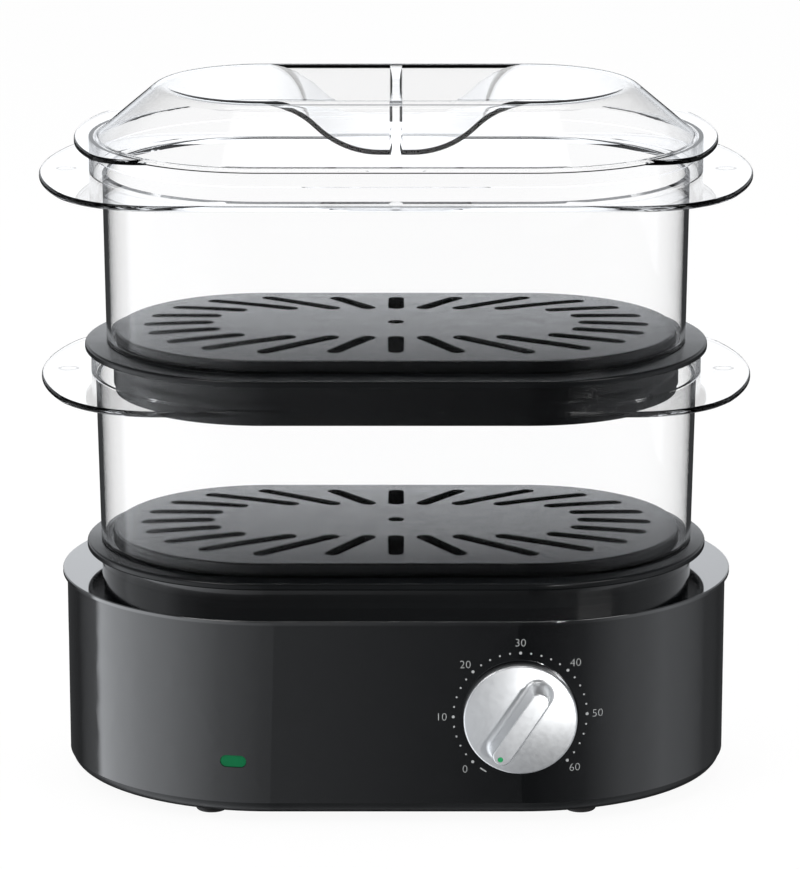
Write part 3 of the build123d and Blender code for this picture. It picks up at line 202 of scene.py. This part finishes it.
# After the name: colour, then lowest and highest roughness, then a moulding's grain and peel, the
# knob's rise or a metal's stretch.
materials = {
    "housing": moulded("housing_black", BLACK, (0.10, 0.16), 260.0, 0.02, **GLOSS),
    "deck": moulded("deck_black", BLACK, (0.06, 0.1), 260.0, 0.01, **DECK_GLOSS),
    "pan": moulded("pan_black", INK, (0.3, 0.4), 1800.0, 0.25),
    "foot_rubber": moulded("foot_rubber_black", (0.02, 0.018, 0.018), (0.6, 0.75), 900.0, 0.4),
    "tray_plastic": moulded("tray_black", INK, (0.22, 0.27), 1500.0, 0.008, IOR=1.4),
    "drip_plastic": moulded("drip_black", INK, (0.14, 0.22), 700.0, 0.04, **GLOSS),
    "clear_plastic": clear("clear_moulding", (0.994, 0.994, 0.997), (0.0, 0.012)),
    "knob_silver": domed_face("knob_satin_silver", (0.8, 0.81, 0.82), (0.37, 0.42), 0.0055),
    "ring_black": moulded("ring_gloss_black", BLACK, (0.1, 0.14), 300.0, 0.02, **GLOSS),
    "marker_green": moulded("marker_paint_green", (0.0, 0.27, 0.08), (0.3, 0.4), 900.0, 0.05),
    "lens_green": moulded("lens_clear_green", (0.0, 0.17, 0.056), (0.2, 0.26), 300.0, 0.02,
                          IOR=1.3),
    "grommet": moulded("grommet_rubber", (0.015, 0.015, 0.016), (0.6, 0.7), 900.0, 0.3),
    "silicone": moulded("seal_silicone", (0.42, 0.07, 0.04), (0.45, 0.55), 500.0, 0.1),
    "thermostat_body": moulded("thermostat_phenolic", (0.05, 0.035, 0.03), (0.35, 0.5),
                               900.0, 0.2),
    "fuse_sleeve": moulded("fuse_glass_fibre", (0.72, 0.68, 0.58), (0.7, 0.85), 2600.0, 0.6),
    "timer_body": moulded("timer_natural", (0.66, 0.65, 0.6), (0.35, 0.45), 700.0, 0.1),
    "holder": moulded("holder_natural", (0.55, 0.55, 0.5), (0.4, 0.5), 700.0, 0.1),
    "terminal_body": moulded("terminal_natural", (0.68, 0.68, 0.64), (0.35, 0.45), 700.0, 0.1),
    "lamp_glass": clear("lamp_glass_amber", (0.95, 0.75, 0.5), (0.0, 0.02)),
    "screw_steel": brushed("screw_zinc", STEEL, (0.25, 0.4), (1, 1, 0.2)),
    "clamp_steel": brushed("clamp_zinc", STEEL, (0.28, 0.42), (1, 0.15, 1)),
    "bracket_steel": brushed("bracket_zinc", STEEL, (0.28, 0.42), (0.15, 1, 1)),
    "bell_steel": brushed("bell_plated", (0.66, 0.66, 0.66), (0.1, 0.18), (1, 1, 1)),
    "shaft_steel": brushed("shaft_turned", (0.5, 0.5, 0.52), (0.25, 0.35), (1, 0.1, 1)),
    "heater_dish": brushed("dish_stainless", (0.62, 0.61, 0.6), (0.2, 0.34), (1, 0.12, 1)),
    "heater_sheath": brushed("sheath_dull", (0.42, 0.4, 0.38), (0.45, 0.6), (1, 1, 1)),
}
for part in frame["record"]["subparts"]:
    for slot in frame["nodes"][part["node"]].material_slots:
        slot.material = materials[part["material_slot"]]


# ---- Flat marks: a shape is its points, centred on the origin, and its faces ---------------------
def oval(width, depth, sides):
    turns = [2 * math.pi * i / sides for i in range(sides)]
    return [Vector((width / 2 * math.cos(turn), depth / 2 * math.sin(turn), 0)) for turn in turns]


def disc(radius, sides=20):
    return oval(2 * radius, 2 * radius, sides), [tuple(range(sides))]


def oval_ring(width, depth, inner, sides=48):
    """A flat ring whose hole is the share inner of its width and depth."""
    faces = []
    for i in range(sides):
        after = (i + 1) % sides
        faces.append((i, after, after + sides, i + sides))
    return oval(width, depth, sides) + oval(inner * width, inner * depth, sides), faces


def bar(length, width):
    corners = ((-1, -1), (1, -1), (1, 1), (-1, 1))
    return [Vector((x * length / 2, y * width / 2, 0)) for x, y in corners], [(0, 1, 2, 3)]


def lettering(words, size, trim):
    """Words in plain type, whose strokes lose trim along each edge."""
    curve = bpy.data.curves.new("words", "FONT")
    curve.body, curve.size, curve.offset = words, size, -trim
    curve.align_x, curve.align_y = "CENTER", "CENTER"
    curve.resolution_u = 3
    holder = bpy.data.objects.new("words", curve)
    bpy.context.scene.collection.objects.link(holder)
    evaluated = holder.evaluated_get(bpy.context.evaluated_depsgraph_get())
    mesh = bpy.data.meshes.new_from_object(evaluated)
    bpy.data.objects.remove(holder)
    points = [vertex.co for vertex in mesh.vertices]
    axes = list(zip(*points))
    middle = (Vector([min(axis) for axis in axes]) + Vector([max(axis) for axis in axes])) / 2
    return [point - middle for point in points], [tuple(face.vertices) for face in mesh.polygons]


class Marks:
    """Flat marks gathered in one mesh, each moved to its place by a function of its own."""

    def __init__(self):
        self.points, self.faces = [], []

    def add(self, shape, place):
        points, faces = shape
        start = len(self.points)
        self.points += [place(point) for point in points]
        self.faces += [tuple(start + i for i in face) for face in faces]

    def make(self, name, body, material):
        mesh = bpy.data.meshes.new(name)
        mesh.from_pydata([tuple(point) for point in self.points], [], self.faces)
        mesh.materials.append(material)
        piece = bpy.data.objects.new(name, mesh)
        bpy.context.scene.collection.objects.link(piece)
        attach(piece, body)


# ---- The dial's print on the housing -------------------------------------------------------------
PRINT_LIFT = 0.00006
DIAL_RADIUS, NUMERAL_RADIUS = 0.0334, 0.0388
# Where the marks for off, 0 and the last minute are, in degrees.
OFF_ANGLE, ZERO_ANGLE, FULL_ANGLE = 33.3, 45.0, 315.0
LAST_MINUTE, DOT_STEP, NUMERAL_STEP = 60, 2, 10
LARGE_DOT, SMALL_DOT = 0.00078, 0.0005
OFF_LENGTH, OFF_WIDTH = 0.0036, 0.0007
NUMERAL_SIZE, STROKE_TRIM = 0.0058, 0.00011


def mix(a, b, t):
    return a + (b - a) * t


def wall_y(x, z):
    """The front wall's outer face, at a place seen straight from the front."""
    t = (z - FOOT_Z) / (TOP_Z - FOOT_Z)
    beyond = max(0.0, abs(x) - mix(FOOT_SPAN, TOP_SPAN, t))
    radius = mix(FOOT_RADIUS, TOP_RADIUS, t)
    return CENTRE_Y - math.sqrt(radius**2 - beyond**2)


def round_dial(angle, radius):
    """A place on the dial; the angle runs clockwise from straight down."""
    turn = math.radians(angle)
    return DIAL_X - radius * math.sin(turn), DIAL_Z - radius * math.cos(turn)


def on_wall(x, z, turn=0.0):
    """Lays a flat shape on the front wall at x, z, turned by an angle."""
    def place(point):
        px = x + point.x * math.cos(turn) - point.y * math.sin(turn)
        pz = z + point.x * math.sin(turn) + point.y * math.cos(turn)
        return Vector((px, wall_y(px, pz) - PRINT_LIFT, pz))
    return place


dial = Marks()
for minute in range(0, LAST_MINUTE + 1, DOT_STEP):
    angle = mix(ZERO_ANGLE, FULL_ANGLE, minute / LAST_MINUTE)
    numbered = minute % NUMERAL_STEP == 0
    dial.add(disc(LARGE_DOT if numbered else SMALL_DOT), on_wall(*round_dial(angle, DIAL_RADIUS)))
    if numbered:
        dial.add(lettering(str(minute), NUMERAL_SIZE, STROKE_TRIM),
                 on_wall(*round_dial(angle, NUMERAL_RADIUS)))
dial.add(bar(OFF_LENGTH, OFF_WIDTH),
         on_wall(*round_dial(OFF_ANGLE, DIAL_RADIUS), math.radians(-OFF_ANGLE)))
print_grey = moulded("dial_print_grey", (0.36, 0.37, 0.37), (0.45, 0.55), 1500.0, 0.05)
dial.make("dial_print", "base", print_grey)


# ---- Faint oval thumb marks on the basket handles ------------------------------------------------
THUMB_X, THUMB_LIFT = 0.1665, 0.0001
THUMB_WIDTH, THUMB_DEPTH, THUMB_INNER = 0.011, 0.009, 0.72


def centred_at(middle):
    return lambda point: point + middle


mark_grey = moulded("handle_mark_grey", (0.4, 0.4, 0.41), (0.2, 0.3), 900.0, 0.05, Alpha=0.4)
for tier, top in HANDLE_TOPS.items():
    marks = Marks()
    for side in (-1, 1):
        marks.add(oval_ring(THUMB_WIDTH, THUMB_DEPTH, THUMB_INNER),
                  centred_at(Vector((side * THUMB_X, CENTRE_Y, top + THUMB_LIFT))))
    marks.make(tier + "_thumb_marks", tier + "_body", mark_grey)


# ---- What the floor and the world show to which rays ---------------------------------------------
HALF_BOUNCE = 0.5  # a ray's depth of a kind is above this once it has bounced that way


def straight_view(tree):
    """One for what the camera sees directly or through clear walls alone."""
    path = tree.nodes.new("ShaderNodeLightPath")
    onward = math_node(tree, "ADD", path.outputs["Is Camera Ray"],
                       path.outputs["Is Transmission Ray"])
    bounces = math_node(tree, "ADD", path.outputs["Glossy Depth"], path.outputs["Diffuse Depth"])
    direct = math_node(tree, "LESS_THAN", bounces, HALF_BOUNCE)
    return math_node(tree, "MULTIPLY", onward, direct)


def reflected_view(tree):
    """One for what a glossy surface sees, also through clear walls."""
    path = tree.nodes.new("ShaderNodeLightPath")
    mirrored = math_node(tree, "GREATER_THAN", path.outputs["Glossy Depth"], HALF_BOUNCE)
    undiffused = math_node(tree, "LESS_THAN", path.outputs["Diffuse Depth"], HALF_BOUNCE)
    return math_node(tree, "MULTIPLY", mirrored, undiffused)


def blended(tree, share, first, second):
    """Shader first where share is 0 and second where it is 1."""
    node = tree.nodes.new("ShaderNodeMixShader")
    tree.links.new(share, node.inputs["Fac"])
    tree.links.new(first, node.inputs[1])
    tree.links.new(second, node.inputs[2])
    return node.outputs[0]


def glow(tree, kind, strength, colour=(1, 1, 1)):
    node = tree.nodes.new(kind)
    node.inputs["Color"].default_value = (*colour, 1)
    feed(tree, strength, node.inputs["Strength"])
    return node.outputs[0]


# ---- Floor: near white to the camera, with the object's shadow on it, and unseen in the gloss ----
FLOOR_SIDE = 16
FLOOR_LOW, FLOOR_HIGH = (0.83, 0.83, 0.83), (0.86, 0.86, 0.86)
FLOOR_WHITE = 0.88  # share of plain white in what the camera sees of the floor
FLOOR_GLOW = 1.06  # strength of that white


def studio_floor():
    surface = Surface("studio_floor", Roughness=0.9)
    surface.tint(surface.noise(scale=3.0), FLOOR_LOW, FLOOR_HIGH)
    tree = surface.tree
    share = math_node(tree, "MULTIPLY", straight_view(tree), FLOOR_WHITE)
    white = glow(tree, "ShaderNodeEmission", FLOOR_GLOW)
    shader = blended(tree, share, surface.shader.outputs["BSDF"], white)
    unseen = tree.nodes.new("ShaderNodeBsdfTransparent").outputs[0]
    shader = blended(tree, reflected_view(tree), shader, unseen)
    tree.links.new(shader, tree.nodes["Material Output"].inputs["Surface"])
    bpy.ops.mesh.primitive_plane_add(size=1, location=(0, 0, 0))
    floor = bpy.context.object
    floor.name = "floor"
    floor.scale = (FLOOR_SIDE, FLOOR_SIDE, 1)
    floor.visible_glossy = False
    floor.data.materials.append(surface.material)


studio_floor()


# ---- World: the studio round the object ----------------------------------------------------------
# What its gloss sees, as stops of an angle in degrees and a brightness. Below the horizon: a soft
# box low on the left, a smaller one on the right and a dark room in front and behind. Above it: a
# white backdrop behind and soft boxes on both sides. Bearings run from the left's back (-180)
# through the front (0) to the right's back.
LOW_BEARINGS = (
    (-180, 0.04), (-140, 0.05), (-118, 0.3), (-113, 1.9), (-90, 1.85), (-62, 1.45), (-30, 0.68),
    (-8, 0.42), (-1.5, 0.34), (-0.6, 0.29), (0.7, 0.06), (2.2, 0.04), (20, 0.08), (36, 0.15),
    (61, 0.52), (88, 0.68), (105, 0.45), (128, 0.12), (150, 0.04), (180, 0.04),
)
HIGH_BEARINGS = (
    (-180, 1.4), (-173, 1.3), (-166, 0.9), (-125, 0.8), (-118, 0.8), (-113, 1.1), (-75, 1.0),
    (-60, 0.45), (-40, 0.2), (60, 0.2), (75, 0.5), (105, 0.6), (135, 0.7), (166, 0.8), (173, 1.1),
    (180, 1.4),
)
# How that fades with height, and where the horizon is.
HEIGHTS = ((-90, 1.0), (13, 1.0), (16, 0.8), (19, 0.55), (24, 0.38), (45, 0.28), (90, 0.2))
HORIZON = ((-90, 0.0), (-4, 0.0), (0, 1.0), (90, 1.0))
BRIGHTEST = 2.0  # what a ramp's white stands for
COOL_WHITE = (0.96, 0.99, 1.03)  # the tint of what the gloss sees
AMBIENT = 0.45  # even light from all round, for what isn't gloss
BACKDROP = 1.0  # white to the camera


def ramp(tree, source, stops, position_of):
    """Brightness along source, from stops of an angle and a value."""
    node = tree.nodes.new("ShaderNodeValToRGB")
    elements = node.color_ramp.elements
    for index, (angle, value) in enumerate(stops):
        position = position_of(angle)
        element = elements[index] if index < 2 else elements.new(position)
        element.position = position
        element.color = (*[value / BRIGHTEST] * 3, 1)
    tree.links.new(source, node.inputs["Fac"])
    return math_node(tree, "MULTIPLY", node.outputs["Color"], BRIGHTEST)


def round_position(angle):
    return angle / 360 + 0.5


def height_position(angle):
    return 0.5 + 0.5 * math.sin(math.radians(angle))


def studio_world():
    world = bpy.data.worlds.new("studio_world")
    world.use_nodes = True
    bpy.context.scene.world = world
    tree = world.node_tree
    tree.nodes.remove(tree.nodes["Background"])
    direction = tree.nodes.new("ShaderNodeTexCoord").outputs["Generated"]
    axes = tree.nodes.new("ShaderNodeSeparateXYZ")
    tree.links.new(direction, axes.inputs[0])
    front = math_node(tree, "MULTIPLY", axes.outputs["Y"], -1.0)
    bearing = math_node(tree, "ARCTAN2", axes.outputs["X"], front)
    bearing = math_node(tree, "MULTIPLY_ADD", bearing, 0.5 / math.pi, 0.5)
    height = math_node(tree, "MULTIPLY_ADD", axes.outputs["Z"], 0.5, 0.5)
    low_round = ramp(tree, bearing, LOW_BEARINGS, round_position)
    high_round = ramp(tree, bearing, HIGH_BEARINGS, round_position)
    fade = ramp(tree, height, HEIGHTS, height_position)
    above = ramp(tree, height, HORIZON, height_position)
    below = math_node(tree, "SUBTRACT", 1.0, above)
    room = math_node(tree, "ADD", math_node(tree, "MULTIPLY", low_round, below),
                     math_node(tree, "MULTIPLY", high_round, above))
    room = math_node(tree, "MULTIPLY", room, fade)
    ambient = glow(tree, "ShaderNodeBackground", AMBIENT)
    reflected = glow(tree, "ShaderNodeBackground", room, COOL_WHITE)
    backdrop = glow(tree, "ShaderNodeBackground", BACKDROP)
    output = blended(tree, reflected_view(tree), ambient, reflected)
    output = blended(tree, straight_view(tree), output, backdrop)
    tree.links.new(output, tree.nodes["World Output"].inputs["Surface"])


studio_world()


# ---- Lamps ---------------------------------------------------------------------------------------
# Where they point: at the object's middle, and just in front of the knob.
MIDDLE = (0, 0, 0.15)
KNOB_REACH = 0.12  # forward from the object's middle
KNOB = (DIAL_X, CENTRE_Y - KNOB_REACH, DIAL_Z)


def hang(lamp, place, target):
    holder = bpy.data.objects.new(lamp.name, lamp)
    bpy.context.scene.collection.objects.link(holder)
    holder.location = place
    holder.rotation_euler = (Vector(target) - Vector(place)).to_track_quat("-Z", "Y").to_euler()
    holder.visible_camera = False


def soft_box(name, place, side, power):
    lamp = bpy.data.lights.new(name, "AREA")
    lamp.shape, lamp.size, lamp.energy = "SQUARE", side, power
    hang(lamp, place, MIDDLE)


def spot_lamp(name, place, target, radius, beam, power):
    lamp = bpy.data.lights.new(name, "SPOT")
    lamp.shadow_soft_size, lamp.energy = radius, power
    lamp.spot_size, lamp.spot_blend = math.radians(beam), 1.0
    hang(lamp, place, target)


soft_box("key", (-1.2, -1.4, 1.6), side=1.0, power=12)
soft_box("fill", (1.4, -1.2, 1.1), side=0.9, power=7)
spot_lamp("knob_spot", (0.77, -1.86, 0.12), KNOB, radius=0.05, beam=5, power=80)
soft_box("top", (0.0, 0.3, 2.2), side=1.2, power=14)


# ---- Camera: a long lens, about 14 degrees above the level and square on to the front ------------
CAMERA_X, CAMERA_BACK, CAMERA_Z = 0.002, 2.9703, 0.9318
CAMERA_DIP = 0.2494  # radians
SENSOR_WIDTH, FOCAL_LENGTH = 36.0, 248.85  # millimetres
FARTHEST = 100.0

camera_data = bpy.data.cameras.new("camera")
camera_data.sensor_width = SENSOR_WIDTH
camera_data.lens = FOCAL_LENGTH
camera_data.clip_end = FARTHEST
camera = bpy.data.objects.new("camera", camera_data)
bpy.context.scene.collection.objects.link(camera)
camera.location = (CAMERA_X, CENTRE_Y - CAMERA_BACK, CAMERA_Z)
camera.rotation_euler = (math.radians(90) - CAMERA_DIP, 0, 0)
bpy.context.scene.camera = camera
bpy.context.scene.view_settings.view_transform = "Standard"
